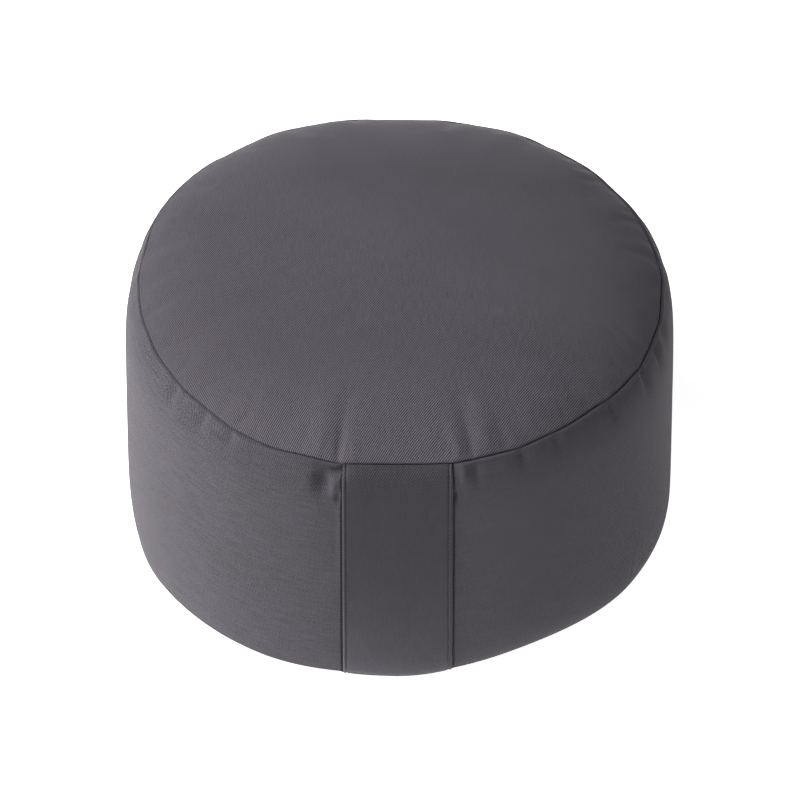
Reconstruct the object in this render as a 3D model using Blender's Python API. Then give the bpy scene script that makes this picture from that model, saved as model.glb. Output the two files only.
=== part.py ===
"""A round meditation cushion: a filled drum of twill with two round panels, a side band and a carry strap.

Metres, +Z up, the strap on the front at -Y. The origin is on the floor, under the middle of the cushion.
A direction round the cushion is its turn in degrees: 0 at the strap, positive towards +X.
"""

import math

import bmesh
import bpy
from mathutils import Vector

# Driving sizes of the filled cushion
BELLY_RADIUS = 0.150        # the side band at its fullest
TOP_SEAM_RADIUS = 0.1420
TOP_SEAM_HEIGHT = 0.1545
FOOT_SEAM_RADIUS = 0.1460
FOOT_SEAM_HEIGHT = 0.004
REST_RADIUS = 0.126         # the bottom panel lies flat on the floor out to here
CROWN = 0.026               # rise of the top panel's middle over its seam
CROWN_SHOULDER = 0.36       # the share of that rise that comes close to the seam
SHOULDER_POWER = 8
BAND_POWER = 7              # how late the side band turns in towards its seams
BAND_LENGTH = TOP_SEAM_HEIGHT - FOOT_SEAM_HEIGHT

# Cloth
PANEL_THICKNESS = 0.0015
STRAP_THICKNESS = 0.0024    # the strap is folded double
GAP = 0.0003                # between pieces that touch
PANEL_BEDDING = 0.0005      # between a panel and the filled body that it covers

# The seams draw the cloth in
SEAM_DEPTH = 0.0012
SEAM_SPREAD = 0.0035
NORMAL_REACH = 0.002        # the cover's direction is read over this distance, so it turns gently at a seam

# The strap, and how it pulls the side band flat behind it
STRAP_WIDTH = 0.0587
STRAP_FLATTENING = 0.85     # 1 would make the band a straight chord behind the strap
STRAP_RECESS = 0.0018
STRAP_RECESS_EDGE = 0.0025
STRAP_FOOT_GAP = 0.0030     # the band draws in behind the strap just above the floor
STRAP_FOOT_CLEAR = 0.0060   # and the strap comes straight down, this far clear of it
STRAP_FOOT_HEIGHT = 0.012
STRAP_FOOT_SPREAD = 0.010
STRAP_COLUMNS = 12

# The filled cover is not quite round. Each row is a direction: how far the foot seam, the belly
# and the top seam stand out from their round sizes there, and how far the top seam is lifted, in mm.
SECTIONS = (
    # turn, foot, belly, top, lift
    (-180, 0.0, 0.5, -2.0, -1.5),
    (-150, 0.0, 0.5, 1.0, 1.0),
    (-120, 0.0, -0.5, 1.5, 3.0),
    (-90, -1.0, -1.5, -1.0, 0.5),
    (-60, 4.0, 0.5, -1.0, -1.0),
    (-30, 4.5, 1.0, 1.5, -1.5),
    (0, 0.0, 0.5, 1.5, -1.0),
    (30, -5.0, -0.5, 1.0, 0.0),
    (60, 0.0, -0.5, 1.5, -0.5),
    (90, 1.5, -2.0, 0.0, 0.0),
    (120, 1.5, 0.5, -1.5, 0.5),
    (150, 0.5, 2.0, -1.5, 0.5),
)

# The puckers that show from a step away, each a trough in the cloth that starts at a seam. Each row:
# the zone it runs in, its turn, its width round the cushion, its reach from the seam and its depth, in mm.
PUCKERS = (
    # zone, turn, width, reach, depth
    ("top", -14.5, 4.5, 22, 1.6),
    ("top", 18.5, 5.0, 22, 1.3),
    ("top", 30.0, 7.0, 18, 0.8),
    ("top", 98.0, 6.0, 20, 1.1),
    ("top", 112.0, 6.5, 22, 1.0),
    ("top", 128.0, 7.0, 18, 0.9),
    ("top", 168.0, 8.0, 20, 1.0),
    ("top", -100.0, 7.0, 20, 1.0),
    ("top", -122.0, 8.0, 18, 0.9),
    ("top", -154.0, 8.0, 20, 0.9),
    ("band", -17.5, 7.0, 20, 3.0),
    ("band", -39.0, 6.0, 14, 1.0),
    ("band", -48.0, 6.0, 14, 1.0),
    ("band", -59.0, 7.0, 16, 1.0),
    ("band", 16.0, 5.0, 14, 1.4),
    ("band", 28.0, 5.5, 16, 1.3),
    ("band", 37.5, 5.5, 14, 1.1),
    ("band", 53.0, 7.0, 18, 1.2),
    ("band", 69.0, 6.0, 16, 1.2),
    ("band", 104.0, 8.0, 20, 1.2),
    ("band", 146.0, 8.0, 18, 1.1),
    ("band", -96.0, 8.0, 18, 1.1),
    ("band", -138.0, 8.0, 18, 1.1),
)
PUCKER_START = 0.003        # a pucker opens over this distance from its seam

# Where the mesh has its points. Round the cushion: up to this turn, a point every so many degrees.
TURN_STEPS = (
    # up to, step
    (11.45, 3.0),
    (12.15, 0.7),
    (15.2, 1.4),
    (21.2, 2.0),
    (44, 3.2),
    (180, 4.0),
)
# Along the profile, as shares of each zone: the bottom from its middle to the foot seam,
# the band from the foot seam to the top seam, and the top from its seam to the middle.
BOTTOM_SHARES = (0.0, 0.5, REST_RADIUS / FOOT_SEAM_RADIUS, 0.93, 0.97, 1.0)
BAND_SHARES = (0.0, 0.02, 0.05, 0.09, 0.16, 0.28, 0.44, 0.60, 0.72, 0.82, 0.885, 0.93, 0.962, 0.984, 1.0)
TOP_SHARES = (0.0, 0.018, 0.045, 0.08, 0.13, 0.20, 0.32, 0.52, 0.76, 1.0)

CLOTH_COLOUR = (0.098, 0.094, 0.104, 1.0)
STRAP_COLOUR = (0.088, 0.084, 0.094, 1.0)
CLOTH_ROUGHNESS = 0.85


def smooth(x):
    """0 below 0, 1 above 1, and an even step between."""
    x = min(max(x, 0.0), 1.0)
    return x * x * (3 - 2 * x)


def angle_apart(turn, other):
    """How far two directions are apart, in degrees, from 0 to 180."""
    return abs((turn - other + 180) % 360 - 180)


def section(turn):
    """Foot, belly and top seam radius and top seam height in one direction, eased between the rows."""
    count = len(SECTIONS)
    step = 360 / count
    place = ((turn - SECTIONS[0][0]) % 360) / step
    low = int(place) % count
    share = smooth(place - int(place))
    here, there = SECTIONS[low], SECTIONS[(low + 1) % count]
    foot, belly, top, lift = ((a + (b - a) * share) / 1000 for a, b in zip(here[1:], there[1:]))
    return (
        FOOT_SEAM_RADIUS + foot,
        BELLY_RADIUS + belly,
        TOP_SEAM_RADIUS + top,
        TOP_SEAM_HEIGHT + lift,
    )


def pulled_flat(radius, turn, hold):
    """The radius with the cover pulled towards a straight chord behind the strap."""
    half_turn = math.asin(STRAP_WIDTH / 2 / radius)
    off = math.radians(angle_apart(turn, 0))
    if off >= half_turn:
        return radius
    chord = radius * math.cos(half_turn) / math.cos(off)
    return radius + (chord - radius) * hold


def smooth_cover(zone, turn, share):
    """A point of the filled cover before its seams and puckers, as radius and height."""
    foot, belly, top, seam_height = section(turn)
    if zone == "bottom":
        hold = STRAP_FLATTENING * smooth((share - 0.8) / 0.2)
        radius = pulled_flat(foot, turn, hold) * share
        rise = max(0.0, (share * foot - REST_RADIUS) / (foot - REST_RADIUS))
        return radius, FOOT_SEAM_HEIGHT * rise**2
    if zone == "band":
        seam = foot if share < 0.5 else top
        radius = belly - (belly - seam) * abs(2 * share - 1) ** BAND_POWER
        height = FOOT_SEAM_HEIGHT + (seam_height - FOOT_SEAM_HEIGHT) * share
        return pulled_flat(radius, turn, STRAP_FLATTENING), height
    inward = 1 - share
    hold = STRAP_FLATTENING * smooth((inward - 0.7) / 0.3)
    seam_part = seam_height * inward**2 + TOP_SEAM_HEIGHT * (1 - inward**2)
    bowl = (1 - CROWN_SHOULDER) * (1 - inward**2) + CROWN_SHOULDER * (1 - inward**SHOULDER_POWER)
    return pulled_flat(top, turn, hold) * inward, seam_part + CROWN * bowl


def from_seam(zone, share):
    """Distance along the cover from this point to the nearest seam, in metres."""
    if zone == "bottom":
        return (1 - share) * FOOT_SEAM_RADIUS
    if zone == "band":
        return min(share, 1 - share) * BAND_LENGTH
    return share * TOP_SEAM_RADIUS


def near_foot(share):
    """1 where the band turns in behind the strap just above the floor, and 0 well away from there."""
    above = (share * BAND_LENGTH - STRAP_FOOT_HEIGHT) / STRAP_FOOT_SPREAD
    return math.exp(-(above**2))


def relief(zone, turn, share):
    """How far the cloth lies below the smooth cover: seams, puckers and the bed of the strap."""
    away = from_seam(zone, share)
    depth = SEAM_DEPTH * math.exp(-((away / SEAM_SPREAD) ** 2))
    radius = TOP_SEAM_RADIUS if zone == "top" else BELLY_RADIUS
    from_top = away if zone == "top" else (1 - share) * BAND_LENGTH
    for pucker_zone, at, width, reach, deep in PUCKERS:
        if pucker_zone != zone:
            continue
        across = math.radians(angle_apart(turn, at)) * radius * 1000 / width
        along = from_top * 1000 / reach
        opening = 1 - math.exp(-from_top / PUCKER_START)
        depth += deep / 1000 * opening * math.exp(-(across**2) - along**2)
    if zone == "band":
        off_centre = math.sin(math.radians(angle_apart(turn, 0))) * smooth_cover(zone, turn, share)[0]
        in_front = angle_apart(turn, 0) < 90
        edge = (off_centre - STRAP_WIDTH / 2 - 2 * GAP) / STRAP_RECESS_EDGE
        bed = (1 - smooth(edge)) if in_front else 0.0
        depth += bed * (STRAP_RECESS + STRAP_FOOT_GAP * near_foot(share))
    return depth


def place(turn, radius, height):
    """A radius and height in one direction, as a point."""
    angle = math.radians(turn)
    return Vector((math.sin(angle) * radius, -math.cos(angle) * radius, height))


def beyond_seam(zone, share):
    """The same place named in the next zone, where a share has run past a seam."""
    if zone == "band" and share > 1:
        return "top", (share - 1) * BAND_LENGTH / TOP_SEAM_RADIUS
    if zone == "band" and share < 0:
        return "bottom", 1 + share * BAND_LENGTH / FOOT_SEAM_RADIUS
    if zone == "top" and share < 0:
        return "band", 1 + share * TOP_SEAM_RADIUS / BAND_LENGTH
    if zone == "bottom" and share > 1:
        return "band", (share - 1) * FOOT_SEAM_RADIUS / BAND_LENGTH
    return zone, share


def cover_normal(zone, turn, share):
    """The outward direction of the smooth cover, rounded over the seams."""
    if (zone, share) == ("top", 1):
        return Vector((0, 0, 1))
    if (zone, share) == ("bottom", 0):
        return Vector((0, 0, -1))
    nudge = NORMAL_REACH / {"bottom": FOOT_SEAM_RADIUS, "band": BAND_LENGTH, "top": TOP_SEAM_RADIUS}[zone]
    places = [beyond_seam(zone, share - nudge), beyond_seam(zone, share + nudge)]
    before, after = [place(turn, *smooth_cover(at_zone, turn, at_share)) for at_zone, at_share in places]
    sideways = place(turn + 90, 1, 0)
    return sideways.cross(after - before).normalized()


def cover_point(zone, turn, share, out=0.0):
    """A point of the finished cover, moved out along the cover's own direction by out."""
    point = place(turn, *smooth_cover(zone, turn, share))
    return point + cover_normal(zone, turn, share) * (out - relief(zone, turn, share))


def turn_stations():
    """The directions that carry a row of points, right round, closer together near the strap."""
    one_side = [0.0]
    for up_to, step in TURN_STEPS:
        start = one_side[-1]
        count = max(1, round((up_to - start) / step))
        one_side += [start + (up_to - start) * k / count for k in range(1, count + 1)]
    return [-t for t in reversed(one_side[1:-1])] + one_side


def ring_mesh(name, rings):
    """A closed mesh lofted through rings of points. The first and the last ring are a single point."""
    bm = bmesh.new()
    rows = []
    for index, ring in enumerate(rings):
        points = ring[:1] if index in (0, len(rings) - 1) else ring
        rows.append([bm.verts.new(point) for point in points])
    for low, high in zip(rows, rows[1:]):
        count = max(len(low), len(high))
        for k in range(count):
            after = (k + 1) % count
            corners = [low[k % len(low)], low[after % len(low)], high[after % len(high)], high[k % len(high)]]
            bm.faces.new(list(dict.fromkeys(corners)))
    mesh = bpy.data.meshes.new(name)
    bmesh.ops.recalc_face_normals(bm, faces=bm.faces)
    bm.to_mesh(mesh)
    bm.free()
    return mesh


def sheet_mesh(name, outer, inner):
    """A closed sheet lofted through rows of points, an outer and an inner face joined all round by a rim."""
    bm = bmesh.new()
    faces = [[[bm.verts.new(point) for point in row] for row in rows] for rows in (outer, inner)]
    for rows in faces:
        for low, high in zip(rows, rows[1:]):
            for k in range(len(low) - 1):
                bm.faces.new((low[k], low[k + 1], high[k + 1], high[k]))
    borders = [rows[0] + [row[-1] for row in rows[1:-1]] + rows[-1][::-1] + [row[0] for row in rows[-2:0:-1]]
               for rows in faces]
    outer_border, inner_border = borders
    for k in range(len(outer_border)):
        after = (k + 1) % len(outer_border)
        bm.faces.new((outer_border[k], outer_border[after], inner_border[after], inner_border[k]))
    mesh = bpy.data.meshes.new(name)
    bmesh.ops.recalc_face_normals(bm, faces=bm.faces)
    bm.to_mesh(mesh)
    bm.free()
    return mesh


def make_material(name, colour):
    """A plain cloth finish."""
    material = bpy.data.materials.new(name)
    material.use_nodes = True
    shader = material.node_tree.nodes["Principled BSDF"]
    shader.inputs["Base Color"].default_value = colour
    shader.inputs["Roughness"].default_value = CLOTH_ROUGHNESS
    shader.inputs["Metallic"].default_value = 0.0
    return material


def add_piece(name, mesh, colour, collection):
    """A named sub-part with its own material."""
    piece = bpy.data.objects.new(name, mesh)
    collection.objects.link(piece)
    mesh.materials.append(make_material(name + "_cloth", colour))
    mesh.shade_smooth()
    mesh.set_sharp_from_angle(angle=math.radians(40))
    return piece


def make_body(collection, turns):
    """The filled body: the side band with the filling that it holds, cut back under the two panels."""
    under_panel = -(PANEL_THICKNESS + PANEL_BEDDING)
    seam_share = GAP / 2 / BAND_LENGTH
    rings = [[cover_point("bottom", turn, share, under_panel) for turn in turns] for share in BOTTOM_SHARES]
    shares = [min(max(share, seam_share), 1 - seam_share) for share in BAND_SHARES]
    rings += [[cover_point("band", turn, share) for turn in turns] for share in shares]
    rings += [[cover_point("top", turn, share, under_panel) for turn in turns] for share in TOP_SHARES]
    return add_piece("cushion_body", ring_mesh("cushion_body", rings), CLOTH_COLOUR, collection)


def panel_mesh(name, zone, shares, turns):
    """A closed panel: its outer face from the middle to the seam, then its inner face back to the middle."""
    outer = [[cover_point(zone, turn, share) for turn in turns] for share in shares]
    inner = [[cover_point(zone, turn, share, -PANEL_THICKNESS) for turn in turns] for share in shares]
    return ring_mesh(name, outer + inner[::-1])


def make_top_panel(collection, turns):
    """The round top panel, crowned over the filling."""
    seam_share = GAP / 2 / TOP_SEAM_RADIUS
    shares = [max(share, seam_share) for share in reversed(TOP_SHARES)]
    return add_piece("top_panel", panel_mesh("top_panel", "top", shares, turns), CLOTH_COLOUR, collection)


def make_bottom_panel(collection, turns):
    """The round bottom panel, flat where the cushion rests."""
    seam_share = 1 - GAP / 2 / FOOT_SEAM_RADIUS
    shares = [min(share, seam_share) for share in BOTTOM_SHARES]
    mesh = panel_mesh("bottom_panel", "bottom", shares, turns)
    return add_piece("bottom_panel", mesh, CLOTH_COLOUR, collection)


def strap_turn(across, share):
    """The turn at which the side band is this far across from the middle of the strap."""
    radius = smooth_cover("band", 0, share)[0] - STRAP_RECESS
    return math.degrees(math.atan2(across, radius))


def make_strap(collection):
    """The carry strap: sewn into both seams, straight down the front, clear of the band above the floor."""
    end_share = 2 * GAP / BAND_LENGTH
    outer, inner = [], []
    for share in BAND_SHARES:
        share = min(max(share, end_share), 1 - end_share)
        turns = [strap_turn(STRAP_WIDTH * (k / STRAP_COLUMNS - 0.5), share) for k in range(STRAP_COLUMNS + 1)]
        forward = cover_normal("band", 0, share)
        clear = forward * (GAP + STRAP_FOOT_CLEAR * near_foot(share))
        inner.append([cover_point("band", turn, share) + clear for turn in turns])
        outer.append([point + forward * STRAP_THICKNESS for point in inner[-1]])
    return add_piece("carry_strap", sheet_mesh("carry_strap", outer, inner), STRAP_COLOUR, collection)


def main():
    for old in list(bpy.data.objects):
        bpy.data.objects.remove(old, do_unlink=True)
    collection = bpy.data.collections.new("meditation_cushion")
    bpy.context.scene.collection.children.link(collection)
    turns = turn_stations()
    make_body(collection, turns)
    make_top_panel(collection, turns)
    make_bottom_panel(collection, turns)
    make_strap(collection)
    bpy.context.view_layer.update()


main()
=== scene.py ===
import math

import bpy
import numpy as np
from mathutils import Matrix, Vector


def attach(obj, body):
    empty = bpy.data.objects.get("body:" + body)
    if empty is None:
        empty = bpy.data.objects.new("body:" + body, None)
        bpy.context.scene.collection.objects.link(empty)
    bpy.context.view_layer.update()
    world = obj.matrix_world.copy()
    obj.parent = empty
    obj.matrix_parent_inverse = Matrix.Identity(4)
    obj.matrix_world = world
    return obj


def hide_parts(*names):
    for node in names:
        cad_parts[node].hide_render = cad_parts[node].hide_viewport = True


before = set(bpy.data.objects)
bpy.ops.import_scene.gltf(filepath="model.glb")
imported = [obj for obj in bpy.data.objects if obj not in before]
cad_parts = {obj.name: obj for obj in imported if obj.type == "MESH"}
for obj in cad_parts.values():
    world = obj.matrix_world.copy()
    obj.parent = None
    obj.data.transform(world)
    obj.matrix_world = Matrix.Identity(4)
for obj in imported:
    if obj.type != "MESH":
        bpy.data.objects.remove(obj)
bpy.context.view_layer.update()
print("frame loaded:", sorted(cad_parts))

# A turn is a direction round the cushion in degrees: 0 at the strap, positive towards +X.
# Everything is in metres, apart from the tables that say mm.

up = np.array((0.0, 0.0, 1.0))


# the form of the filled cover
cover = {
    "bellyRadius": 0.150,
    "topSeamRadius": 0.142,
    "topSeamHeight": 0.1545,
    "footSeamRadius": 0.146,
    "footSeamHeight": 0.004,
    "restRadius": 0.126,         # the bottom lies flat out to here
    "crown": 0.026,
    "crownShoulder": 0.36,       # share of the crown's rise that comes close to the seam
    "shoulderPower": 8,
    "bandPower": 7,              # how late the band turns in to its seams
    "panelThickness": 0.0015,
    "bedding": 0.0005,           # between a panel and the filling under it
    "gap": 0.0003,
    "seamWander": 0.00035,       # how far the sewing strays from a true line
    "wanderWaves": (7, 12, 19, 27),
    "wanderStart": 12,           # degrees from the strap, which holds the seam straight
}

mesh = {
    # up to this turn, a column every so many degrees
    "turnSteps": ((9.5, 1.3), (11, 0.5), (12.75, 0.25), (20, 0.5), (72, 0.7), (180, 1.8)),
    "nearSeam": (0, 0.7, 1.5, 2.7, 4.3, 6.4, 9.0, 12.0),          # rows this far from a seam, mm
    "rowStep": 3.0,                                               # mm, between the other rows
    "bottomRows": (25, 45, 80, 120),                              # mm in from the foot seam
    "topRows": (104, 110, 118, 128),                              # mm in from the top seam
    "hiddenNear": 3,                                              # rows from a seam to the first hidden one
    "hiddenNext": 7,                                              # and on top to the second
    "hiddenSteps": {"bottom": 4, "top": 6},                       # and between the others
}

# How the filled cushion sits, off its round sizes, in mm
sections = (
    # turn, foot, belly, top, lift
    (-180, 0.0, 0.5, -2.0, -1.5),
    (-150, 0.0, 0.5, 1.0, 1.0),
    (-120, 0.0, -0.5, 1.5, 3.0),
    (-90, -1.0, -1.5, -1.0, 0.5),
    (-60, 4.0, 0.5, -1.0, -1.0),
    (-30, 4.5, 1.0, 1.5, -1.5),
    (0, 0.0, 0.5, 1.5, -1.0),
    (30, -5.0, -0.5, 1.0, 0.0),
    (60, 0.0, -0.5, 1.5, -0.5),
    (90, 1.5, -2.0, 0.0, 0.0),
    (120, 1.5, 0.5, -1.5, 0.5),
    (150, 0.5, 2.0, -1.5, 0.5),
)

strap = {
    "width": 0.0587,
    "thickness": 0.0024,
    "flattening": 0.85,          # 1 would pull the band to a straight chord behind the strap
    "footFlattening": -0.4,      # at its foot the band bows out instead
    "recess": 0.0011,            # how deep it has bedded into the band
    "recessEdge": 0.0006,        # and how soon the band stands full again beside it
    "footGap": 0.0003,
    "footClear": 0.0010,         # how far it stands off the band just above the foot seam
    "footHeight": 0.012,
    "footSpread": 0.010,
    # where its pull starts along each zone and over how much of the zone it grows, as shares
    "pull": {"bottom": (0.8, 0.2), "band": (0.0, 0.55), "top": (0.7, 0.3)},
}

bandLength = cover["topSeamHeight"] - cover["footSeamHeight"]
zoneLength = {"bottom": cover["footSeamRadius"], "band": bandLength, "top": cover["topSeamRadius"]}
zoneRadius = {"top": cover["topSeamRadius"], "band": cover["bellyRadius"]}


def smoothStep(x):
    x = np.clip(x, 0.0, 1.0)
    return x * x * (3 - 2 * x)


def turnApart(at, other=0.0):
    return np.abs((at - other + 180) % 360 - 180)


def turnColumns():
    side = [0.0]
    for upTo, step in mesh["turnSteps"]:
        start = side[-1]
        count = max(1, round((upTo - start) / step))
        side += [start + (upTo - start) * k / count for k in range(1, count + 1)]
    return np.array(side + [360 - turn for turn in reversed(side[1:-1])])


turns = turnColumns()
outward = np.stack([np.sin(np.radians(turns)), -np.cos(np.radians(turns)), 0 * turns], axis=1)


def seamStray(at, phase):
    # a slow waver of the sewing line, none at the strap
    angle, start = np.radians(at), cover["wanderStart"]
    waves = sum(np.sin(count * angle + phase * count) / (1 + 0.05 * count) for count in cover["wanderWaves"])
    return cover["seamWander"] * waves * smoothStep((turnApart(at) - start) / start)


def sectionsAt(at):
    # foot, belly and top seam radius and top seam height in these directions
    step = 360 / len(sections)
    place = ((at - sections[0][0]) % 360) / step
    low = place.astype(int) % len(sections)
    share = smoothStep(place - np.floor(place))[:, None]
    table = np.array(sections)[:, 1:] / 1000
    foot, belly, top, lift = (table[low] + (table[(low + 1) % len(sections)] - table[low]) * share).T
    return (cover["footSeamRadius"] + foot, cover["bellyRadius"] + belly,
            cover["topSeamRadius"] + top + seamStray(at, 1.7),
            cover["topSeamHeight"] + lift + seamStray(at, 0.4))


def pullAt(zone, share):
    start, length = strap["pull"][zone]
    return smoothStep((share - start) / length)


def pulledFlat(radius, at, hold):
    # the strap pulls the cover behind it towards a straight chord
    halfTurn = np.arcsin(strap["width"] / 2 / radius)
    off = np.radians(turnApart(at))
    chord = radius * np.cos(halfTurn) / np.cos(np.minimum(off, halfTurn))
    return np.where(off < halfTurn, radius + (chord - radius) * hold, radius)


def smoothCover(zone, at, share):
    # radius and height of one row of the cover, before its seams and puckers
    foot, belly, top, seamHeight = sectionsAt(at)
    if zone == "bottom":
        hold = strap["footFlattening"] * pullAt(zone, share)
        rise = np.maximum(0.0, (share * foot - cover["restRadius"]) / (foot - cover["restRadius"]))
        return pulledFlat(foot, at, hold) * share, cover["footSeamHeight"] * rise**2
    if zone == "band":
        seam = foot if share < 0.5 else top
        radius = belly - (belly - seam) * abs(2 * share - 1) ** cover["bandPower"]
        height = cover["footSeamHeight"] + (seamHeight - cover["footSeamHeight"]) * share
        hold = strap["footFlattening"] + (strap["flattening"] - strap["footFlattening"]) * pullAt(zone, share)
        return pulledFlat(radius, at, hold), height
    inward = 1 - share
    hold = strap["flattening"] * pullAt(zone, inward)
    seamPart = seamHeight * inward**2 + cover["topSeamHeight"] * (1 - inward**2)
    shoulder = cover["crownShoulder"]
    bowl = (1 - shoulder) * (1 - inward**2) + shoulder * (1 - inward ** cover["shoulderPower"])
    return pulledFlat(top, at, hold) * inward, seamPart + cover["crown"] * bowl


def zoneRows(zone):
    # where a zone has its rows, as shares of its length
    length = zoneLength[zone] * 1000
    near = list(mesh["nearSeam"])
    if zone == "bottom":
        return [0.0] + [1 - away / length for away in reversed(near + list(mesh["bottomRows"]))]
    reach = length - near[-1] if zone == "band" else mesh["topRows"][0]
    count = round((reach - near[-1]) / mesh["rowStep"])
    middle = [near[-1] + (reach - near[-1]) * k / count for k in range(1, count)]
    if zone == "band":
        return [away / length for away in near + middle + [length - back for back in reversed(near)]]
    return [away / length for away in near + middle + list(mesh["topRows"])] + [1.0]


# seams and puckers
seams = {
    "valleyDepth": 0.0005,                            # the soft valley either side
    "valleySpread": 0.0055,
    "creaseDepth": 0.0015,                            # the tight crease where the thread pulls
    "creaseSpread": 0.0007,
    "creaseAtStrap": 0.2,                             # how much of it is left where the strap fills it
    "creaseTurns": (11.5, 1.5),                       # where it starts beside the strap, how soon it is whole
    "lipHeight": 0.00045,                             # the band's cloth rolls out under the top seam
    "lipPlace": 0.0016,
    "lipSpread": 0.0008,
    "lipTurns": (12, 3),
    "tightTurn": -85,                                 # on the left the seam is tighter and the roll flatter
    "tightReach": 45,
    "tightLip": 0.2,                                  # what is left there of the roll
    "tightSpread": 0.6,                               # and of the crease's width
    "puckerStart": 0.0022,                            # a pucker opens over this distance from its seam
    "puckerWidths": (0.75, 0.5),                      # share of its width at the seam, and how it fans out
    "puckerEnd": 3,                                   # and it is gone by this many times its reach
}

# The puckers that the photo shows, a trough where the depth is positive and a ridge where it is negative
puckers = (
    # zone, turn, width mm, reach mm, depth mm, lean mm
    ("top", -13.0, 2.6, 19, 1.8, -1.6),
    ("top", -17.4, 3.0, 18, -0.7, -1),
    ("top", -9.8, 2.8, 11, -0.6, 0),
    ("top", -21.4, 3.0, 17, 0.5, -1),
    ("top", 13.2, 2.6, 16, -0.7, 0),
    ("top", 16.3, 2.8, 19, 1.5, 1),
    ("top", 20.0, 2.8, 17, -0.7, 1),
    ("top", 23.8, 3.2, 15, 0.8, 1),
    ("top", 31.5, 3.6, 17, -0.5, 0),
    ("top", 98.0, 3.2, 16, 0.6, 2),
    ("top", 112.0, 3.4, 17, 0.55, -2),
    ("top", 128.0, 4.0, 16, 0.6, 1),
    ("top", 168.0, 6.0, 18, 0.8, 0),
    ("top", -100.0, 5.5, 18, 0.8, 1),
    ("top", -122.0, 6.0, 17, 0.7, -1),
    ("top", -154.0, 6.0, 18, 0.7, 0),
    ("band", -12.0, 1.2, 3.2, 3.0, 0),
    ("band", -37.9, 3.4, 11, 1.8, 0),
    ("band", -46.1, 3.6, 12, 1.9, 0),
    ("band", -56.3, 4.2, 13, 1.8, 0),
    ("band", 12.1, 1.2, 3, 1.6, 0),
    ("band", 22.5, 3.0, 9, -0.5, 1),
    ("band", 27.0, 3.0, 13, 2.3, 1),
    ("band", 31.0, 3.0, 9, -0.5, 0),
    ("band", 35.6, 3.0, 10, 2.0, 1),
    ("band", 47.0, 3.0, 9, -0.5, 0),
    ("band", 51.4, 3.6, 13, 2.5, 1),
    ("band", 64.2, 3.4, 16, 2.5, 1),
    ("band", 71.5, 2.8, 14, 2.0, 1),
    ("band", 78.0, 3.2, 12, 1.4, 0),
    ("band", 104.0, 6.0, 18, 1.0, 0),
    ("band", 146.0, 6.0, 16, 0.9, 1),
    ("band", -96.0, 6.0, 17, 0.9, -1),
    ("band", -138.0, 6.0, 16, 0.9, 0),
)

# Dents where the depth is positive and small bulges where it is negative, that don't run out from the seam
dents = (
    # zone, turn, mm from the top seam, width mm, length mm, depth mm
    ("band", -15.9, 11.0, 4.6, 7.6, 5.2),
    ("band", -13.5, 42.0, 5.5, 32.0, 0.9),
    ("band", -12.8, 4.2, 5.4, 2.8, 4.2),
    ("band", -12.3, 19.5, 1.8, 3.6, 2.0),
    ("band", -13.2, 13.0, 2.4, 4.4, -1.5),
    ("band", 13.9, 7.0, 2.6, 5.0, -1.8),
    ("band", 16.8, 7.5, 2.8, 7.0, 1.6),
    ("band", 11.9, 18.5, 1.0, 2.6, 2.2),
)

# Round the rest of the seams the cloth draws in a little all the way
drawnIn = {
    "stray": 0.38,               # how far from an even spacing
    "width": (2.8, 5.2),         # least and most, mm
    "reach": (8, 20),
    "lean": (-3, 3),
    "depth": (0.45, 1.35),       # shares of the row's depth
    "seed": 11,
}
smallPuckers = (
    # zone, from turn, to turn, how many, depth mm
    ("top", 76, 178, 17, 0.40),
    ("top", -178, -76, 15, 0.38),
    ("top", -70, -24, 6, 0.15),
    ("top", 36, 74, 6, 0.28),
    ("band", 22, 178, 24, 0.35),
    ("band", -178, -24, 22, 0.32),
)


def everyPucker():
    rng = np.random.default_rng(drawnIn["seed"])
    rows = list(puckers)
    for zone, start, end, count, depth in smallPuckers:
        step = (end - start) / count
        for k in range(count):
            turn = start + step * (k + 0.5 + rng.uniform(-drawnIn["stray"], drawnIn["stray"]))
            width, reach, lean = (rng.uniform(*drawnIn[key]) for key in ("width", "reach", "lean"))
            rows.append((zone, turn, width, reach, depth * rng.uniform(*drawnIn["depth"]), lean))
    return rows


allPuckers = everyPucker()


def nearFoot(share):
    return math.exp(-(((share * bandLength - strap["footHeight"]) / strap["footSpread"]) ** 2))


def strapBed(share, radius):
    # how deep the band lies behind the strap
    offCentre = np.sin(np.radians(turnApart(turns))) * radius
    edge = (offCentre - strap["width"] / 2 - 2 * cover["gap"]) / strap["recessEdge"]
    bed = np.where(turnApart(turns) < 90, 1 - smoothStep(edge), 0)
    return bed * (strap["recess"] + strap["footGap"] * nearFoot(share))


def bell(x):
    return np.exp(-(x**2))


def asideFrom(turn, zone):
    # how far each column lies to the side of this turn, in mm
    return np.radians((turns - turn + 180) % 360 - 180) * zoneRadius[zone] * 1000


def besideStrap(turnRange):
    start, length = turnRange
    return smoothStep((turnApart(turns) - start) / length)


def seamRelief(zone, fromSeam, fromTop):
    # the valley, the crease and the roll of cloth along a seam
    tight = bell(turnApart(turns, seams["tightTurn"]) / seams["tightReach"])
    held = 1 - (1 - seams["creaseAtStrap"]) * (1 - besideStrap(seams["creaseTurns"]))
    spread = seams["creaseSpread"] * (1 - (1 - seams["tightSpread"]) * tight)
    depth = seams["valleyDepth"] * bell(fromSeam / seams["valleySpread"])
    depth = depth + held * seams["creaseDepth"] * bell(fromSeam / spread)
    if zone == "band":
        rolled = (1 - (1 - seams["tightLip"]) * tight) * besideStrap(seams["lipTurns"])
        depth -= seams["lipHeight"] * bell((fromTop - seams["lipPlace"]) / seams["lipSpread"]) * rolled
    return depth


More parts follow.
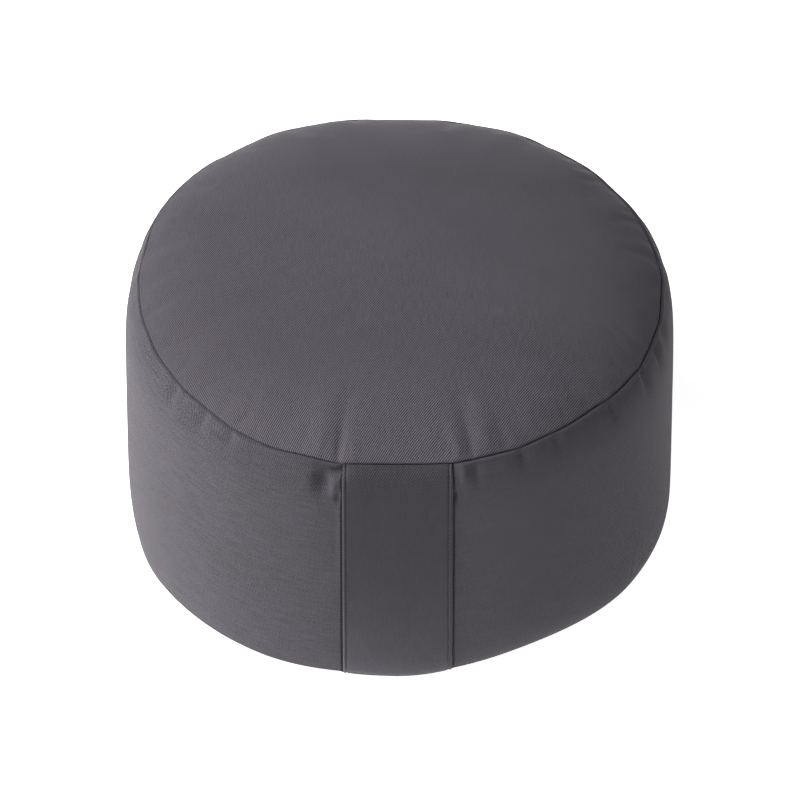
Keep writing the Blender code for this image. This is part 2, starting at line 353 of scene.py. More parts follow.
def relief(zone, share, radius):
    # how far one row of the cloth lies below the smooth cover
    length = zoneLength[zone]
    fromTop = share * length if zone == "top" else (1 - share) * length
    fromSeam = min(share, 1 - share) * length if zone == "band" else fromTop
    depth = seamRelief(zone, fromSeam, fromTop)
    for where, turn, down, width, long, deep in dents:
        if where == zone:
            depth += deep / 1000 * bell(asideFrom(turn, zone) / width) * bell((fromTop * 1000 - down) / long)
    opening = 1 - math.exp(-fromTop / seams["puckerStart"])
    mouth, fan = seams["puckerWidths"]
    for where, turn, width, reach, deep, lean in allPuckers:
        along = fromTop * 1000 / reach
        if where == zone and along <= seams["puckerEnd"]:
            across = (asideFrom(turn, zone) - lean * along) / (width * (mouth + fan * along))
            depth += deep / 1000 * opening * bell(across) * bell(along)
    return depth + strapBed(share, radius) if zone == "band" else depth


def gridNormals(grid):
    sideways = np.roll(grid, -1, axis=1) - np.roll(grid, 1, axis=1)
    along = np.gradient(grid, axis=0)
    normals = np.cross(sideways, along)
    normals /= np.maximum(np.linalg.norm(normals, axis=2, keepdims=True), 1e-12)
    normals[0], normals[-1] = -up, up
    return normals


def coverGrid():
    # rows of points from the middle of the bottom, up the band, to the middle of the top
    places, smooth, depths = [], [], []
    for zone in ("bottom", "band", "top"):
        rows = zoneRows(zone)
        for share in rows if zone == "bottom" else rows[1:]:
            radius, height = smoothCover(zone, turns, share)
            places.append((zone, share))
            smooth.append(outward * radius[:, None] + up * height[:, None])
            depths.append(relief(zone, share, radius))
    smooth = np.array(smooth)
    normals = gridNormals(smooth)
    return smooth - normals * np.array(depths)[:, :, None], normals, places


cloth, facing, places = coverGrid()
footRow = max(row for row, place in enumerate(places) if place[0] == "bottom")
seamRow = max(row for row, place in enumerate(places) if place[0] == "band")
lastRow = len(places) - 1
print("cover:", len(places), "rows by", len(turns), "columns")


# the cloth settles over its filling
settle = {
    "frames": 18,
    "quality": 7,
    "mass": 0.25,
    "pressure": 4.0,
    "tension": 15.0,
    "shear": 0.3,              # share of the tension
    "bending": 0.3,
    "damping": 10,
    "airDamping": 3,
    "slack": 1.0,              # 1 keeps all the spare cloth of a flat-cut panel round its seam
    "evenOver": 9.0,           # degrees: swelling wider than this is left out, wrinkles stay
    "cap": 0.0022,             # no wrinkle is deeper than this
    "heldSeam": 0.0012,        # metres: the cloth is held this near a seam
    "heldCrown": (0.45, 0.2),  # shares of the way to the crown's middle: where the hold starts and grows
    "heldTurn": 13.2,          # degrees: and it is held behind the strap
}


def loftMesh(name, rings, uvRings=None):
    # a closed mesh through rings of points; a ring of one point closes an end
    count = max(len(ring) for ring in rings)
    starts = np.cumsum([0] + [len(ring) for ring in rings])
    faces, corners = [], []
    for row in range(len(rings) - 1):
        for k in range(count):
            face = []
            for level, column in ((row, k), (row, k + 1), (row + 1, k + 1), (row + 1, k)):
                point = int(starts[level]) + (column % count if len(rings[level]) > 1 else 0)
                if point not in [taken[0] for taken in face]:
                    face.append((point, level, column))
            faces.append([taken[0] for taken in face])
            corners += [(taken[1], taken[2]) for taken in face]
    made = bpy.data.meshes.new(name)
    made.from_pydata(np.vstack(rings).tolist(), [], faces)
    if uvRings is not None:
        layer = made.uv_layers.new(name="cutCloth")
        flat = np.array([uvRings[level][column] for level, column in corners], dtype=np.float32)
        layer.data.foreach_set("uv", flat.ravel())
    made.polygons.foreach_set("use_smooth", [True] * len(made.polygons))
    made.update()
    return made


def withPoles(grid):
    return [grid[0][:1]] + list(grid[1:-1]) + [grid[-1][:1]]


def cutShape(grid):
    # the same cloth as it was cut: two flat discs and a straight strip, longer round than the seams now are
    step = np.linalg.norm(np.diff(grid, axis=0), axis=2)
    upProfile = np.vstack([0 * turns, np.cumsum(step, axis=0)])
    reach = {"bottom": upProfile, "top": upProfile[-1] - upProfile}
    low, high = reach["bottom"][footRow].mean(), reach["top"][seamRow].mean()
    cut = grid.copy()
    for row, (zone, share) in enumerate(places):
        if zone == "band":
            radius, height = low + (high - low) * share + 0 * turns, upProfile[row]
        else:
            radius = reach[zone][row]
            height = upProfile[footRow if zone == "bottom" else seamRow]
        seam = footRow if zone == "bottom" else seamRow
        if row == seam:
            radius = np.full(len(turns), low if zone == "bottom" else high)
        cut[row] = outward * radius[:, None] + up * height[:, None]
    return grid + (cut - grid) * settle["slack"]


def grip(zone, share):
    # how firmly a row is held while the rest settles
    if zone == "bottom":
        return 1.0
    fromSeam = min(share, 1 - share) * bandLength if zone == "band" else share * zoneLength["top"]
    held = float(fromSeam < settle["heldSeam"])
    start, length = settle["heldCrown"]
    return max(held, float(smoothStep((share - start) / length))) if zone == "top" else held


def settled(grid):
    body = bpy.data.objects.new("settling", loftMesh("settling", withPoles(grid)))
    bpy.context.scene.collection.objects.link(body)
    body.shape_key_add(name="filled")
    cut = body.shape_key_add(name="cut")
    cut.value = 0.0
    cut.data.foreach_set("co", np.vstack(withPoles(cutShape(grid))).astype(np.float32).ravel())
    held = body.vertex_groups.new(name="held")
    columns = len(turns)
    held.add([0, len(body.data.vertices) - 1], 1.0, "REPLACE")
    for row in range(1, lastRow):
        zone, share = places[row]
        for k in range(columns):
            underStrap = zone == "band" and turnApart(turns[k]) < settle["heldTurn"]
            held.add([1 + (row - 1) * columns + k], 1.0 if underStrap else grip(zone, share), "REPLACE")
    modifier = body.modifiers.new("Settling", "CLOTH")
    values = modifier.settings
    values.quality = settle["quality"]
    values.mass = settle["mass"]
    values.tension_stiffness = values.compression_stiffness = settle["tension"]
    values.shear_stiffness = settle["tension"] * settle["shear"]
    values.bending_stiffness = settle["bending"]
    values.tension_damping = values.compression_damping = settle["damping"]
    values.air_damping = settle["airDamping"]
    values.use_pressure = True
    values.uniform_pressure_force = settle["pressure"]
    values.vertex_group_mass = "held"
    values.rest_shape_key = cut
    values.effector_weights.gravity = 0
    modifier.collision_settings.use_collision = False
    for step in range(1, settle["frames"] + 1):
        bpy.context.scene.frame_set(step)
    evaluated = body.evaluated_get(bpy.context.evaluated_depsgraph_get())
    moved = np.zeros(len(body.data.vertices) * 3, np.float32)
    evaluated.data.vertices.foreach_get("co", moved)
    bpy.context.scene.frame_set(1)
    result = grid.copy()
    result[1:-1] = moved.reshape(-1, 3)[1:-1].reshape(lastRow - 1, columns, 3)
    made = body.data
    bpy.data.objects.remove(body)
    bpy.data.meshes.remove(made)
    return result


def onlyWrinkles(shift):
    # the part of a movement that changes from place to place round the cushion, not the even swelling
    height = (shift * facing).sum(axis=2)
    width = np.abs(np.roll(turns, -1) - np.roll(turns, 1)) % 360
    near = np.exp(-((turnApart(turns[:, None], turns[None, :]) / settle["evenOver"]) ** 2)) * width
    even = height @ (near / near.sum(axis=1, keepdims=True)).T
    return settle["cap"] * np.tanh((height - even) / settle["cap"])


shift = settled(cloth) - cloth
wrinkles = onlyWrinkles(shift)
cloth = cloth + facing * wrinkles[:, :, None]
print("settled: the cloth moved up to %.1f mm, and its wrinkles are up to %.1f mm deep"
      % (np.linalg.norm(shift, axis=2).max() * 1000, np.abs(wrinkles).max() * 1000))


def between(before, low, high, after):
    # a point midway, on the smooth curve through its neighbours
    return (9 * (low + high) - before - after) / 16


def refined(grid):
    # twice as many columns and rows
    columns = np.repeat(grid, 2, axis=1)
    columns[:, 1::2] = between(*(np.roll(grid, step, axis=1) for step in (1, 0, -1, -2)))
    padded = np.concatenate([columns[:1], columns, columns[-1:]])
    rows = np.repeat(columns, 2, axis=0)[:-1]
    rows[1::2] = between(padded[:-3], padded[1:-2], padded[2:-1], padded[3:])
    return rows


def halfway(places):
    # the same for the rows' names: a new row's zone is the one that it leads to
    both = []
    for low, high in zip(places, places[1:]):
        start = low[1] if low[0] == high[0] else 0.0
        both += [low, (high[0], (start + high[1]) / 2)]
    return both + [places[-1]]


cloth, places = refined(cloth), halfway(places)
turns = np.stack([turns, (turns + np.append(turns[1:], 360)) / 2], axis=1).ravel()
footRow, seamRow, lastRow = 2 * footRow, 2 * seamRow, 2 * lastRow
facing = refined(facing)
facing /= np.linalg.norm(facing, axis=2, keepdims=True)
print("finer cover:", len(places), "rows by", len(turns), "columns")


class Wire:
    def __init__(self, tree, socket):
        self.tree = tree
        self.socket = socket

    def maths(self, operation, *others):
        return self.tree.node("ShaderNodeMath", {"operation": operation}, (self,) + others)

    def other(self, name):
        return Wire(self.tree, self.socket.node.outputs[name])

    def __add__(self, value):
        return self.maths("ADD", value)

    def __sub__(self, value):
        return self.maths("SUBTRACT", value)

    def __mul__(self, value):
        return self.maths("MULTIPLY", value)

    def __truediv__(self, value):
        return self.maths("DIVIDE", value)

    def __rsub__(self, value):
        return self.tree.node("ShaderNodeMath", {"operation": "SUBTRACT"}, (value, self))

    __radd__ = __add__
    __rmul__ = __mul__

    def scaled(self, value):
        # a colour made lighter or darker
        return self.tree.node("ShaderNodeVectorMath", {"operation": "SCALE"},
                              {"Vector": self, "Scale": value})

    def fract(self):
        return self.maths("FRACT")

    def floor(self):
        return self.maths("FLOOR")

    def cosine(self):
        return self.maths("COSINE")

    def atLeast(self, value):
        return self.maths("MAXIMUM", value)

    def atMost(self, value):
        return self.maths("MINIMUM", value)


class Tree:
    def __init__(self, nodeTree):
        self.nodeTree = nodeTree

    def node(self, kind, settings=None, values=None, output=0):
        made = self.nodeTree.nodes.new(kind)
        for key, value in (settings or {}).items():
            setattr(made, key, value)
        for key, value in values.items() if isinstance(values, dict) else enumerate(values or ()):
            self.feed(made.inputs[key], value)
        return Wire(self, made.outputs[output])

    def feed(self, socket, value):
        if isinstance(value, Wire):
            self.nodeTree.links.new(value.socket, socket)
        else:
            socket.default_value = value

    def noise(self, vector, scale, detail=2.0, roughness=0.5):
        return self.node("ShaderNodeTexNoise", {"noise_dimensions": "2D"},
                         {"Vector": vector, "Scale": scale, "Detail": detail, "Roughness": roughness})

    def mixColour(self, factor, first, second):
        return self.node("ShaderNodeMix", {"data_type": "RGBA"}, {0: factor, 6: first, 7: second}, output=2)


def newMaterial(name):
    material = bpy.data.materials.new(name)
    material.use_nodes = True
    return material, Tree(material.node_tree), material.node_tree.nodes["Principled BSDF"]


twill = {
    "endSpacing": 0.000440,      # metres between the yarns that run up the cloth
    "pickSpacing": 0.00068,      # and between the yarns that cross them
    "dye": (0.0515, 0.0468, 0.0562),
    "valley": 0.04,              # the dye's share left where the weave dips, darkened as painted shade
    "ridge": 2.25,               # and on top of a float, lightened as a painted highlight
    "middle": 0.43,              # the mean height of the weave, 0 to 1
    "slub": 0.06,                # how unevenly the yarns took the dye
    "cloud": 0.10,               # and the whole cloth
    "drift": (0.6, 0.5),         # how many yarns the warp and the weft stray
    "driftScale": 150.0,
    "yarnRound": 0.3,            # how much of a float's height is its yarn's roundness
    "slubPitch": (0.9, 0.08),    # how fast the slubs change from yarn to yarn and along one
    "slubHeight": 0.2,
    "slubBump": 0.3,
    "cloudScale": 20.0,
    "fleckScale": 1500.0,
    "streakScale": (70.0, 650.0, 0.0),
    "bump": 0.0003,
    "roughness": 0.88,
    "sheen": 0.10,
    "sheenRoughness": 0.4,
    "sheenTint": (1.0, 0.93, 1.0, 1),
    "specular": 0.25,
}

# How strongly the twill's painted shade and highlight stand out on each cloth, and its streaks and flecks:
# softer towards the right and the back, and on the strap clearest at its top
weaveShadeAndFlecks = {
    # middle, change per metre towards +X, +Y and +Z, least, most, streaks along the weft, flecks
    "panel": (1.0, -15.5, -18.5, 0.0, 0.10, 3.4, 0.0, 0.3),
    "band": (0.24, -5.0, 0.0, 0.0, 0.25, 1.20, 0.38, 1.4),
    "strap": (-5.7, 0.0, 0.0, 45.0, 0.42, 1.10, 0.1, 0.5),
}

# painted light and shade: how much lighter each cloth's colour is painted from place to place, standing in
# for how the light falls on it
paintedLight = {
    # per metre towards +X, per metre past the start to the front and to the back,
    # per square metre off a height, and that height
    "panel": (0.75, 3.6, 6.4, 0.0, 0.0),
    "band": (0.15, 0.0, 0.0, 12.0, 0.085),
    "strap": (0.0, 0.0, 0.0, 93.0, 0.108),
    "start": 0.07,
}


def yarnProfile(place):
    # 0 at both edges of a yarn and 1 along its middle
    across = place.fract() * 2 - 1
    return 1 - across * across


def twillHeight(tree, uv, leansRight):
    # two over, one under, each yarn stepped one pick from its neighbour, so the floats line up in diagonals
    across = tree.node("ShaderNodeSeparateXYZ", values=(uv,))
    drift = tree.noise(uv, twill["driftScale"])
    warpDrift, weftDrift = twill["drift"]
    warp = across / (twill["endSpacing"] if leansRight else -twill["endSpacing"]) + drift * warpDrift
    weft = across.other("Y") / twill["pickSpacing"] + drift * weftDrift
    floats = ((weft - warp.floor()) * (2 * math.pi / 3)).cosine() * 0.5 + 0.5
    rounded = twill["yarnRound"]
    over = floats * (1 - rounded + rounded * yarnProfile(warp))
    under = (1 - floats) * yarnProfile(weft) * rounded
    return over.atLeast(under), warp, weft


# painted light and shade: the factor that lightens or darkens a cloth's colour at a place
def paintedLightTone(place, cut):
    towardsRight, towardsFront, towardsBack, fromDarkest, darkestHeight = paintedLight[cut]
    back = place.other("Y")
    fromHeight = place.other("Z") - darkestHeight
    lighter = place * towardsRight + (back - paintedLight["start"]).atLeast(0) * towardsBack + 1
    lighter = lighter + (back * -1 - paintedLight["start"]).atLeast(0) * towardsFront
    return lighter + fromHeight * fromHeight * fromDarkest


def twillMaterial(name, cut, leansRight=True, shade=1.0):
    material, tree, shader = newMaterial(name)
    uv = tree.node("ShaderNodeUVMap", {"uv_map": "cutCloth"})
    height, warp, weft = twillHeight(tree, uv, leansRight)
    acrossYarns, alongYarn = twill["slubPitch"]
    yarnPlace = tree.node("ShaderNodeCombineXYZ", values=(warp.floor(), weft * alongYarn))
    slub = tree.noise(yarnPlace, acrossYarns, 1.0) - 0.5
    cloud = tree.noise(uv, twill["cloudScale"], 4.0, 0.6) - 0.5
    middle, perX, perY, perZ, least, most, streaks, flecks = weaveShadeAndFlecks[cut]
    place = tree.node("ShaderNodeSeparateXYZ", values=(tree.node("ShaderNodeTexCoord", output="Object"),))
    # how strongly the painted shade and highlight of the weave stand out at this place
    clear = place * perX + place.other("Y") * perY + place.other("Z") * perZ + middle
    clear = clear.atLeast(least).atMost(most)
    tone = (height - twill["middle"] + slub * twill["slubHeight"]) * clear
    tone = tone + slub * twill["slub"] + cloud * twill["cloud"]
    tone = tone + (tree.noise(uv, twill["fleckScale"], 1.0) - 0.5) * clear * flecks
    if streaks:
        stretched = tree.node("ShaderNodeVectorMath", {"operation": "MULTIPLY"}, (uv, twill["streakScale"]))
        tone = tone + (tree.noise(stretched, 1.0, 1.0) - 0.5) * clear * streaks
    # the weave's dips are painted dark and its floats painted light: painted shade and painted highlight in
    # the weave
    dark, light = ([c * shade * twill[key] for c in twill["dye"]] + [1] for key in ("valley", "ridge"))
    colour = tree.mixColour(tone + twill["middle"], dark, light)
    # the colour is scaled by the painted light and shade of its place
    tree.feed(shader.inputs["Base Color"], colour.scaled(paintedLightTone(place, cut)))
    weaveHeight = (height + slub * twill["slubBump"]) * clear.atMost(1)
    bump = tree.node("ShaderNodeBump", values={"Height": weaveHeight, "Distance": twill["bump"]})
    tree.feed(shader.inputs["Normal"], bump)
    shader.inputs["Roughness"].default_value = twill["roughness"]
    shader.inputs["Sheen Weight"].default_value = twill["sheen"]
    shader.inputs["Sheen Roughness"].default_value = twill["sheenRoughness"]
    shader.inputs["Sheen Tint"].default_value = twill["sheenTint"]
    shader.inputs["Specular IOR Level"].default_value = twill["specular"]
    return material


panelTwill = twillMaterial("panelTwill", "panel")
# Shaded copies of one twill: the band's and the strap's colours are painted darker than the top panel's, as
# painted shade
bandTwill = twillMaterial("bandTwill", "band", leansRight=False, shade=0.88)
strapTwill = twillMaterial("strapTwill", "strap", shade=0.585)
print("twill mixed")


def addPiece(name, made, material, slotName, *replaced):
    piece = bpy.data.objects.new(name, made)
    bpy.context.scene.collection.objects.link(piece)
    if not made.materials:
        made.materials.append(material)
    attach(piece, "root")
    if replaced:
        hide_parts(*replaced)
    return piece


def subdivide(piece):
    modifier = piece.modifiers.new("Finer cloth", "SUBSURF")
    modifier.levels = modifier.render_levels = 1


upProfile = np.concatenate([[0], np.cumsum(np.linalg.norm(np.diff(cloth, axis=0), axis=2).mean(axis=1))])
closedTurns = np.radians(np.append(turns, 360))


def panelUv(row, centreRow):
    # a place on a panel is as far from its middle as it is along the cloth
    reach = abs(upProfile[row] - upProfile[centreRow])
    return np.stack([np.sin(closedTurns) * reach, -np.cos(closedTurns) * reach], axis=1)


def bandUv(row):
    # the strip's own join is behind the strap
    return np.stack([closedTurns * cover["bellyRadius"], np.full(len(closedTurns), upProfile[row])], axis=1)


def besideSeam(row, towards):
    # the seam's own row, moved half the sewing gap into the piece on one side of it
    step = cloth[row + towards] - cloth[row]
    return cloth[row] + step * (cover["gap"] / 2 / np.linalg.norm(step, axis=1, keepdims=True))


def buried(row, depth):
    return cloth[row] - facing[row] * depth


# hidden faces need fewer rows, the same ones in a panel's back and in the filling under it
underBottom = list(range(0, footRow - mesh["hiddenNear"], mesh["hiddenSteps"]["bottom"]))
underBottom += [footRow - mesh["hiddenNear"], footRow]
underTop = [seamRow, seamRow + mesh["hiddenNear"]]
underTop += range(seamRow + mesh["hiddenNext"], lastRow - mesh["hiddenNear"], mesh["hiddenSteps"]["top"])
underTop.append(lastRow)


def makePanel(name, rows, innerRows, towards, replaced):
    # rows run from the panel's middle to its seam
    edge = besideSeam(rows[-1], towards)
    outer = [cloth[row] for row in rows[:-1]] + [edge]
    inner = [buried(row, cover["panelThickness"]) for row in innerRows[:-1]]
    inner.append(edge - facing[rows[-1]] * cover["panelThickness"])
    outer[0], inner[0] = outer[0][:1], inner[0][:1]
    outerUv = [panelUv(row, rows[0]) for row in rows]
    innerUv = [panelUv(row, rows[0]) for row in innerRows]
    if towards > 0:
        rings, uvRings = inner + outer[::-1], innerUv + outerUv[::-1]
    else:
        rings, uvRings = outer + inner[::-1], outerUv + innerUv[::-1]
    return addPiece(name, loftMesh(name, rings, uvRings), panelTwill, "panel_twill", replaced)


def makeFilledBody():
    # the band at the surface, and the filling cut back under the two panels
    depth = cover["panelThickness"] + cover["bedding"]
    rings = [buried(row, depth) for row in underBottom]
    rings.append(besideSeam(footRow, 1))
    rings += [cloth[row] for row in range(footRow + 1, seamRow)]
    rings.append(besideSeam(seamRow, -1))
    rings += [buried(row, depth) for row in underTop]
    rings[0], rings[-1] = rings[0][:1], rings[-1][:1]
    uvRings = [bandUv(row) for row in underBottom + list(range(footRow, seamRow + 1)) + underTop]
    made = loftMesh("filledBand", rings, uvRings)
    return addPiece("filledBand", made, bandTwill, "band_twill", "cushion_body")


filledBand = makeFilledBody()
topPanel = makePanel("topPanel", range(lastRow, seamRow - 1, -1), underTop[::-1], 1, "top_panel")
bottomPanel = makePanel("bottomPanel", range(0, footRow + 1), underBottom, -1, "bottom_panel")
print("body and panels made")


hem = {
    # across one long edge of the strap's face: mm in from the edge, mm above the plain face
    "profile": ((0.0, -1.3), (0.15, -0.5), (0.4, 0.0), (0.8, 0.25), (1.2, 0.22), (1.5, -0.05),
                (1.8, -0.6), (2.05, -0.72), (2.3, -0.5), (2.65, -0.12), (3.2, 0.0), (5.0, 0.0), (8.0, 0.0),
                (12.0, 0.0), (16.5, 0.0), (21.0, 0.0), (25.5, 0.0)),
    "stitchLine": 2.05,          # mm in from the edge
    "squeeze": 0.0019,           # how much the seams press the strap's ends
    "squeezeReach": 0.0036,
    "ripple": 0.00022,           # slow unevenness of its face
    "rippleWaves": ((410, 23, 0.0), (170, -61, 1.3)),      # per metre across, per metre up, phase
    "rippleFade": 0.01,          # it is gone at the seams
}


def strapStations():
    side = [(away / 1000 - strap["width"] / 2, height / 1000) for away, height in hem["profile"]]
    return np.array(side + [(0.0, 0.0)] + [(-across, height) for across, height in reversed(side)])


stations = strapStations()
strapRows = [footRow + 1] + list(range(footRow + 2, seamRow - 1, 2)) + [seamRow - 1]


def behindStrap(row, across):
    # points of the band that lie behind the strap, across one row
    near = turnApart(turns) < 25        # degrees, well past its edges
    order = np.argsort(cloth[row][near, 0])
    ring = cloth[row][near][order]
    return np.stack([across, np.interp(across, ring[:, 0], ring[:, 1]),
                     np.interp(across, ring[:, 0], ring[:, 2])], axis=1)


def faceRipple(across, height):
    waves = [np.sin(a * across + b * height + phase) for a, b, phase in hem["rippleWaves"]]
    return hem["ripple"] * sum(waves) / len(waves)


def makeStrap():
    outer, inner, heights = [], [], []
    for row in strapRows:
        share = places[row][1]
        fromSeam = min(share, 1 - share) * bandLength
        forward = facing[row, 0]
        clear = cover["gap"] + strap["footClear"] * nearFoot(share)
        back = behindStrap(row, stations[:, 0]) + forward * clear
        pressed = hem["squeeze"] * math.exp(-((fromSeam / hem["squeezeReach"]) ** 2))
        ripple = faceRipple(back[:, 0], back[:, 2]) * min(1, fromSeam / hem["rippleFade"])
        face = strap["thickness"] - pressed + stations[:, 1] + ripple
        inner.append(back)
        outer.append(back + forward * face[:, None])
        heights.append(upProfile[row])
    return np.array(outer), np.array(inner), np.array(heights)


strapFace, strapBack, strapHeights = makeStrap()


def sheetMesh(name, front, back, frontUv):
    # two faces of the same grid, joined by a rim
    rows, columns = front.shape[:2]
    points = np.vstack([front.reshape(-1, 3), back.reshape(-1, 3)])
    size = rows * columns
    faces = []
    for row in range(rows - 1):
        for k in range(columns - 1):
            a = row * columns + k
            faces.append((a, a + 1, a + columns + 1, a + columns))
            faces.append((size + a, size + a + columns, size + a + columns + 1, size + a + 1))
    rim = [k for k in range(columns)] + [row * columns + columns - 1 for row in range(1, rows)]
    rim += [(rows - 1) * columns + k for k in range(columns - 2, -1, -1)]
    rim += [row * columns for row in range(rows - 2, 0, -1)]
    for k, point in enumerate(rim):
        after = rim[(k + 1) % len(rim)]
        faces.append((point, size + point, size + after, after))
    made = bpy.data.meshes.new(name)
    made.from_pydata(points.tolist(), [], faces)
    layer = made.uv_layers.new(name="cutCloth")
    corners = np.zeros(len(made.loops), np.int32)
    made.loops.foreach_get("vertex_index", corners)
    layer.data.foreach_set("uv", frontUv.reshape(-1, 2)[corners % size].astype(np.float32).ravel())
    made.polygons.foreach_set("use_smooth", [True] * len(made.polygons))
    made.update()
    return made


strapUv = np.stack(np.broadcast_arrays(stations[None, :, 0], strapHeights[:, None]), axis=2)
carryStrap = addPiece("carryStrap", sheetMesh("carryStrap", strapFace, strapBack, strapUv),
                      strapTwill, "strap_twill", "carry_strap")
subdivide(carryStrap)
print("strap made")


thread = {
    "pitch": 0.0029,
    "length": 0.0023,
    "thickness": 0.00034,
    "tilt": 0.05,
    "proud": 0.00005,            # how far a stitch's middle stands off the groove that it has pulled
    "seed": 5,
    "endRows": 3,                # rows of the strap left unsewn at each seam
    "colour": (0.022, 0.020, 0.024),
    "shades": (0.75, 1.3),       # of its darkest and lightest fibres
    "fibres": 2500.0,
    "roughness": 0.6,
    "sheen": 0.2,
}


def threadMaterial():
    material, tree, shader = newMaterial("sewingThread")
    place = tree.node("ShaderNodeTexCoord", output="Object")
    fibres = tree.node("ShaderNodeTexNoise",
                       values={"Vector": place, "Scale": thread["fibres"], "Detail": 2.0})
    dark, light = ([c * shade for c in thread["colour"]] + [1] for shade in thread["shades"])
    tree.feed(shader.inputs["Base Color"], tree.mixColour(fibres, dark, light))
    shader.inputs["Roughness"].default_value = thread["roughness"]
    shader.inputs["Sheen Weight"].default_value = thread["sheen"]
    return material


def stitchTree():
    group = bpy.data.node_groups.new("topstitching", "GeometryNodeTree")
    group.interface.new_socket("Line", in_out="INPUT", socket_type="NodeSocketGeometry")
    for name in ("Pitch", "Stitch length", "Thread thickness", "Tilt"):
        group.interface.new_socket(name, in_out="INPUT", socket_type="NodeSocketFloat")
    group.interface.new_socket("Seed", in_out="INPUT", socket_type="NodeSocketInt")
    group.interface.new_socket("Thread", in_out="INPUT", socket_type="NodeSocketMaterial")
    group.interface.new_socket("Stitches", in_out="OUTPUT", socket_type="NodeSocketGeometry")
    tree = Tree(group)
    line = tree.node("NodeGroupInput")
    thick = line.other("Thread thickness")
    path = tree.node("GeometryNodeMeshToCurve", values=(line,))
    path = tree.node("GeometryNodeResampleCurve", {"mode": "LENGTH"},
                     {"Curve": path, "Length": line.other("Pitch")})
    # one small bead, stretched to a stitch
    bead = tree.node("GeometryNodeMeshUVSphere", values={"Segments": 8, "Rings": 6, "Radius": 0.5})
    size = tree.node("ShaderNodeCombineXYZ", values=(line.other("Stitch length"), thick, thick))
    bead = tree.node("GeometryNodeTransform", values={"Geometry": bead, "Scale": size})
    bead = tree.node("GeometryNodeSetShadeSmooth", values=(bead,))
    along = tree.node("FunctionNodeAlignRotationToVector", {"axis": "X"},
                      {"Vector": tree.node("GeometryNodeInputTangent")})
    swing = tree.node("FunctionNodeRandomValue", {"data_type": "FLOAT"},
                      {2: -1.0, 3: 1.0, "Seed": line.other("Seed")}, output=1)
    swing = swing * line.other("Tilt")
    swing = tree.node("FunctionNodeEulerToRotation",
                      values=(tree.node("ShaderNodeCombineXYZ", values=(0.0, swing, swing)),))
    along = tree.node("FunctionNodeRotateRotation", {"rotation_space": "LOCAL"}, (along, swing))
    row = tree.node("GeometryNodeInstanceOnPoints",
                    values={"Points": path, "Instance": bead, "Rotation": along})
    row = tree.node("GeometryNodeRealizeInstances", values=(row,))
    row = tree.node("GeometryNodeSetMaterial", values={"Geometry": row, "Material": line.other("Thread")})
    group.links.new(row.socket, group.nodes.new("NodeGroupOutput").inputs[0])
    return group


def stitchLines():
    # the two sewn lines on the strap's face
    lines = []
    for side in (1, -1):
        across = side * (hem["stitchLine"] / 1000 - strap["width"] / 2)
        column = int(np.argmin(np.abs(stations[:, 0] - across)))
        reach = slice(thread["endRows"], len(strapFace) - thread["endRows"])
        lines.append(strapFace[reach, column] + facing[strapRows, 0][reach] * thread["proud"])
    points = np.vstack(lines)
    count = len(lines[0])
    edges = [(k, k + 1) for k in range(len(points) - 1) if k + 1 != count]
    made = bpy.data.meshes.new("stitchLines")
    made.from_pydata(points.tolist(), edges, [])
    return made


def makeStitches():
    lines = bpy.data.objects.new("stitchLines", stitchLines())
    bpy.context.scene.collection.objects.link(lines)
    modifier = lines.modifiers.new("Topstitching", "NODES")
    modifier.node_group = stitchTree()
    values = {"Pitch": thread["pitch"], "Stitch length": thread["length"], "Tilt": thread["tilt"],
              "Thread thickness": thread["thickness"], "Seed": thread["seed"], "Thread": threadMaterial()}
    for socket in modifier.node_group.interface.items_tree:
        if socket.name in values:
            modifier[socket.identifier] = values[socket.name]
    made = bpy.data.meshes.new_from_object(lines.evaluated_get(bpy.context.evaluated_depsgraph_get()))
    bpy.data.objects.remove(lines)
    made.name = "strapStitches"
    return addPiece("strapStitches", made, None, "strap_twill")


strapStitches = makeStitches()
print("topstitching:", len(strapStitches.data.polygons), "faces")


studio = {
    "floor": (0.93, 0.93, 0.93, 1),
    "floorRoughness": 0.9,
    "floorReach": 6.0,
    "floorHeight": -0.0004,      # clear of the cushion's flat bottom
    "tableGlow": 1.0,            # the floor itself glows, a light table under and round the cushion that fills its shadow
    "glowPlace": (0.0, -0.05, 0),
    "glowInner": 0.17,
    "glowOuter": 0.26,
    "glowBeyond": 0.72,          # of the glow is left further out
    "world": 0.0,                # the floor and the lamps give all the light
    "lampAim": (0.0, 0.0, 0.08),
    "lights": (
        # name, turn, elevation in degrees, distance, size, watts
        ("keyLeft", -98, 40, 1.8, 1.0, 22.5),
        ("lowLeft", -100, 16, 1.8, 1.0, 9),
        ("softLeft", -75, 65, 1.8, 1.2, 26),
        ("softTop", 0, 75, 1.9, 1.0, 1),
        ("frontLeft", -45, 48, 1.8, 1.0, 14.5),
        ("rimRight", 90, 45, 1.8, 1.0, 1.5),
    ),
}
shot = {
    "distance": 6.0,
    "elevation": 42.19,
    "turn": 0.5,                 # degrees towards +X
    "aim": (0.0, 0.0, 0.0718),
    "lens": 496.5,
    "sensor": 36.0,
    "clipEnd": 50,
}


def awayFrom(turn, elevation, distance):
    turned, rise = math.radians(turn), math.radians(elevation)
    along = math.cos(rise)
    return Vector((math.sin(turned) * along, -math.cos(turned) * along, math.sin(rise))) * distance


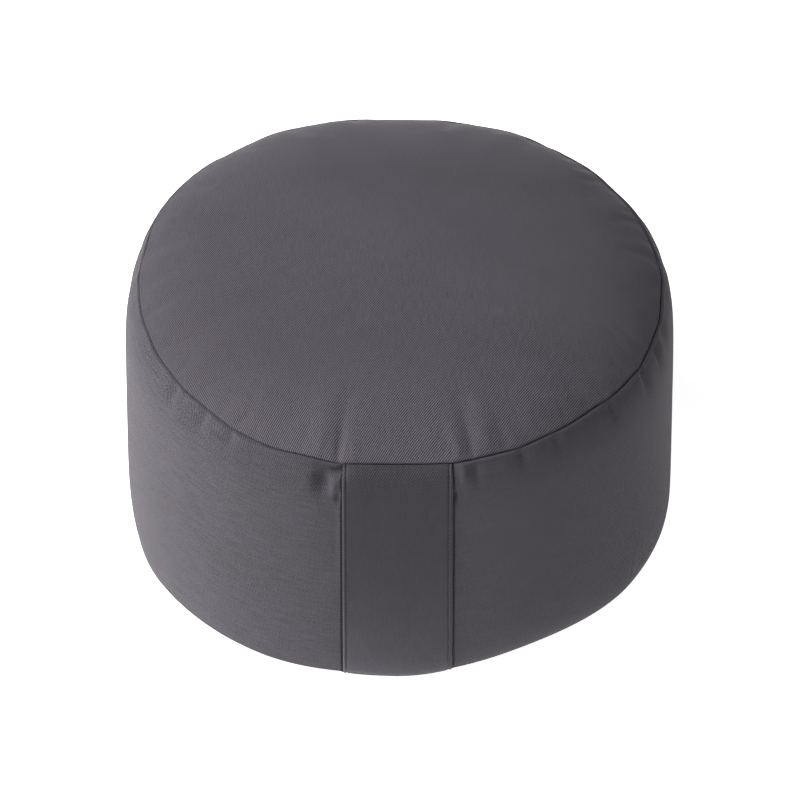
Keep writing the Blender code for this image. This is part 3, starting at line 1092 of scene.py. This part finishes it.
def makeFloor():
    made = bpy.data.meshes.new("studioFloor")
    reach, height = studio["floorReach"], studio["floorHeight"]
    corners = [(x * reach, y * reach, height) for x, y in ((-1, -1), (1, -1), (1, 1), (-1, 1))]
    made.from_pydata(corners, [], [(0, 1, 2, 3)])
    material, tree, shader = newMaterial("paleFloor")
    shader.inputs["Base Color"].default_value = studio["floor"]
    shader.inputs["Roughness"].default_value = studio["floorRoughness"]
    # painted glow of the floor: full in a pool round the cushion, where its shadow would fall, and less
    # further out
    place = tree.node("ShaderNodeTexCoord", output="Object")
    away = tree.node("ShaderNodeVectorMath", {"operation": "DISTANCE"},
                     (place, studio["glowPlace"]), output=1)
    glow = tree.node("ShaderNodeMapRange", {"interpolation_type": "SMOOTHSTEP"},
                     {"Value": away, "From Min": studio["glowInner"], "From Max": studio["glowOuter"],
                      "To Min": 1.0, "To Max": studio["glowBeyond"]})
    tree.feed(shader.inputs["Emission Color"], glow)
    shader.inputs["Emission Strength"].default_value = studio["tableGlow"]
    made.materials.append(material)
    floor = bpy.data.objects.new("studioFloor", made)
    bpy.context.scene.collection.objects.link(floor)


def makeLights():
    for name, turn, elevation, distance, size, watts in studio["lights"]:
        lamp = bpy.data.lights.new(name, "AREA")
        lamp.size = size
        lamp.energy = watts
        light = bpy.data.objects.new(name, lamp)
        light.location = awayFrom(turn, elevation, distance)
        towards = Vector(studio["lampAim"]) - light.location
        light.rotation_euler = towards.to_track_quat("-Z", "Y").to_euler()
        bpy.context.scene.collection.objects.link(light)
    world = bpy.data.worlds.new("studio")
    world.use_nodes = True
    world.node_tree.nodes["Background"].inputs["Color"].default_value = (1, 1, 1, 1)
    world.node_tree.nodes["Background"].inputs["Strength"].default_value = studio["world"]
    bpy.context.scene.world = world


def makeCamera():
    lens = bpy.data.cameras.new("shot")
    lens.lens = shot["lens"]
    lens.sensor_width = shot["sensor"]
    lens.clip_end = shot["clipEnd"]
    camera = bpy.data.objects.new("shot", lens)
    camera.location = Vector(shot["aim"]) + awayFrom(shot["turn"], shot["elevation"], shot["distance"])
    camera.rotation_euler = (math.radians(90 - shot["elevation"]), 0, math.radians(shot["turn"]))
    bpy.context.scene.collection.objects.link(camera)
    bpy.context.scene.camera = camera


makeFloor()
makeLights()
makeCamera()
bpy.context.scene.view_settings.view_transform = "Standard"
print("floor, lights and camera set")
